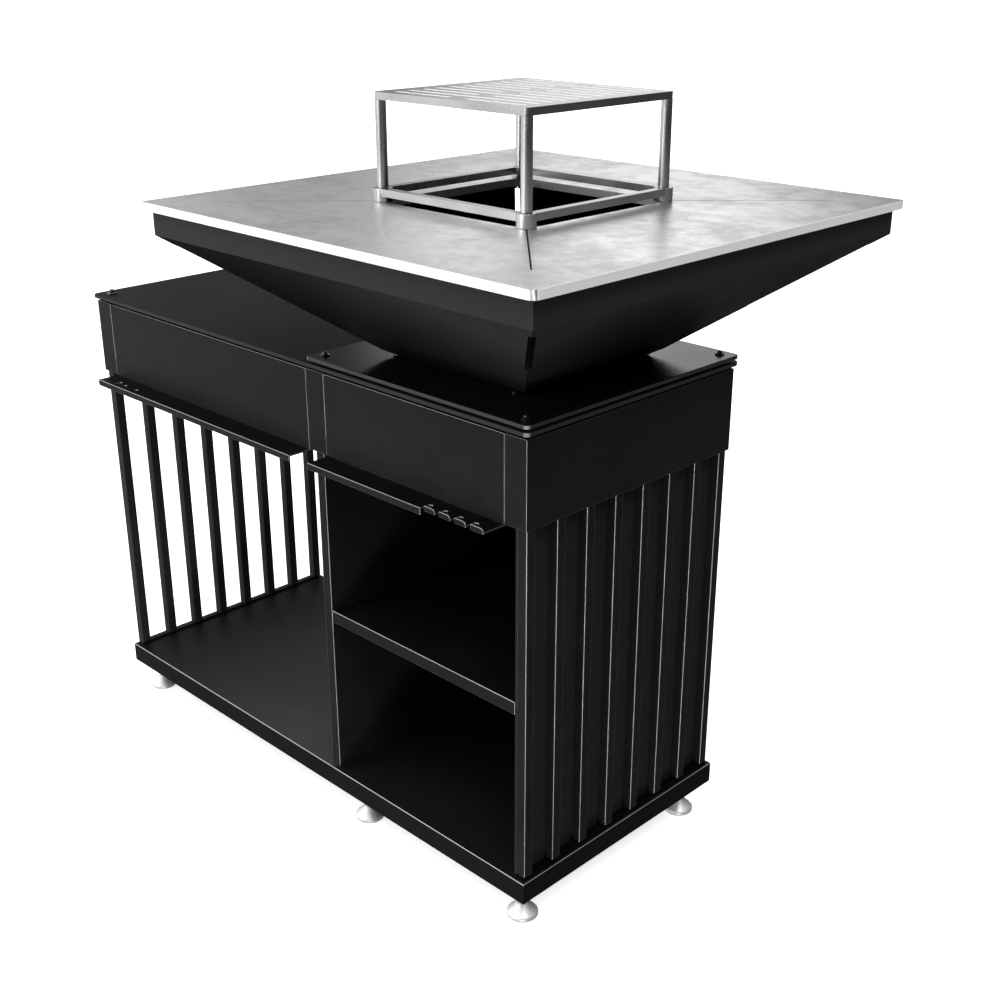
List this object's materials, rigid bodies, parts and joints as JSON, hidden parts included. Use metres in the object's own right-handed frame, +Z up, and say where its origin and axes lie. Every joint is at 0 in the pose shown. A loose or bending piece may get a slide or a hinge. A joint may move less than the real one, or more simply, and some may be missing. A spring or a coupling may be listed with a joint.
{
  "type": "fire pit with cooking plate and grate",
  "caption": "Square steel fire bowl with a flat cooking plate and a raised lift-off grate, standing on a slatted storage cabinet with drawers, tool rails and levelling feet.",
  "frame": {"origin": "on the ground, under the middle of the bounding box", "axes": "+X along the long front towards the fire bowl's end, +Y from the drawer fronts to the back, +Z up"},
  "size_m": [1.271, 0.8, 1.2226],
  "materials": {
    "black_coat": "satin black heat-resistant powder coat on folded steel sheet",
    "black_bolt": "glossy black domed bolt heads",
    "cook_steel": "bare 12 mm steel cooking plate, lightly mottled",
    "grate_steel": "brushed stainless steel",
    "foot_zinc": "bright plated levelling feet"
  },
  "bodies": {
    "cabinet": {"base_tray": "black_coat", "left_sill": "black_coat", "right_sill": "black_coat", "left_bar_1": "black_coat", "left_bar_2": "black_coat", "left_bar_3": "black_coat", "left_bar_4": "black_coat", "left_bar_5": "black_coat", "left_bar_6": "black_coat", "left_bar_7": "black_coat", "left_bar_8": "black_coat", "right_bar_1": "black_coat", "right_bar_2": "black_coat", "right_bar_3": "black_coat", "right_bar_4": "black_coat", "right_bar_5": "black_coat", "right_bar_6": "black_coat", "right_bar_7": "black_coat", "right_bar_8": "black_coat", "right_inner_panel": "black_coat", "divider": "black_coat", "back_panel": "black_coat", "shelf": "black_coat", "apron_left": "black_coat", "apron_right": "black_coat", "apron_stile": "black_coat", "apron_back": "black_coat", "left_drawer_channel_left": "black_coat", "left_drawer_channel_right": "black_coat", "right_drawer_channel_left": "black_coat", "right_drawer_channel_right": "black_coat", "lid_plate": "black_coat", "bowl_plate": "black_coat", "plate_bolt_front_left": "black_bolt", "plate_bolt_front_right": "black_bolt", "plate_bolt_rear_left": "black_bolt", "plate_bolt_rear_right": "black_bolt", "lid_bolt_front": "black_bolt", "lid_bolt_rear": "black_bolt", "bowl": "black_coat"},
    "left_drawer": {"left_drawer_front": "black_coat", "left_drawer_tray": "black_coat", "left_drawer_tool_rail": "black_coat"},
    "right_drawer": {"right_drawer_front": "black_coat", "right_drawer_tray": "black_coat", "right_drawer_tool_rail": "black_coat"},
    "cooking_plate": {"cooking_plate": "cook_steel"},
    "grate": {"grate_top": "grate_steel", "grate_ring": "grate_steel", "grate_leg_front_left": "grate_steel", "grate_leg_front_right": "grate_steel", "grate_leg_rear_left": "grate_steel", "grate_leg_rear_right": "grate_steel"},
    "foot_front_left": {"foot_front_left": "foot_zinc"},
    "foot_front_mid": {"foot_front_mid": "foot_zinc"},
    "foot_front_right": {"foot_front_right": "foot_zinc"},
    "foot_rear_left": {"foot_rear_left": "foot_zinc"},
    "foot_rear_mid": {"foot_rear_mid": "foot_zinc"},
    "foot_rear_right": {"foot_rear_right": "foot_zinc"}
  },
  "joints": [
    {"name": "left_drawer_slide", "type": "slide", "parent": "cabinet", "child": "left_drawer", "axis": [0, -1, 0], "range_m": [0, 0.35]},
    {"name": "right_drawer_slide", "type": "slide", "parent": "cabinet", "child": "right_drawer", "axis": [0, -1, 0], "range_m": [0, 0.35]},
    {"name": "cooking_plate_lift", "type": "slide", "parent": "cabinet", "child": "cooking_plate", "axis": [0, 0, 1], "range_m": [0, 0.15]},
    {"name": "grate_lift", "type": "slide", "parent": "cooking_plate", "child": "grate", "axis": [0, 0, 1], "range_m": [0, 0.2]},
    {"name": "foot_front_left_level", "type": "slide", "parent": "cabinet", "child": "foot_front_left", "axis": [0, 0, 1], "range_m": [-0.015, 0]},
    {"name": "foot_front_mid_level", "type": "slide", "parent": "cabinet", "child": "foot_front_mid", "axis": [0, 0, 1], "range_m": [-0.015, 0]},
    {"name": "foot_front_right_level", "type": "slide", "parent": "cabinet", "child": "foot_front_right", "axis": [0, 0, 1], "range_m": [-0.015, 0]},
    {"name": "foot_rear_left_level", "type": "slide", "parent": "cabinet", "child": "foot_rear_left", "axis": [0, 0, 1], "range_m": [-0.015, 0]},
    {"name": "foot_rear_mid_level", "type": "slide", "parent": "cabinet", "child": "foot_rear_mid", "axis": [0, 0, 1], "range_m": [-0.015, 0]},
    {"name": "foot_rear_right_level", "type": "slide", "parent": "cabinet", "child": "foot_rear_right", "axis": [0, 0, 1], "range_m": [-0.015, 0]}
  ]
}
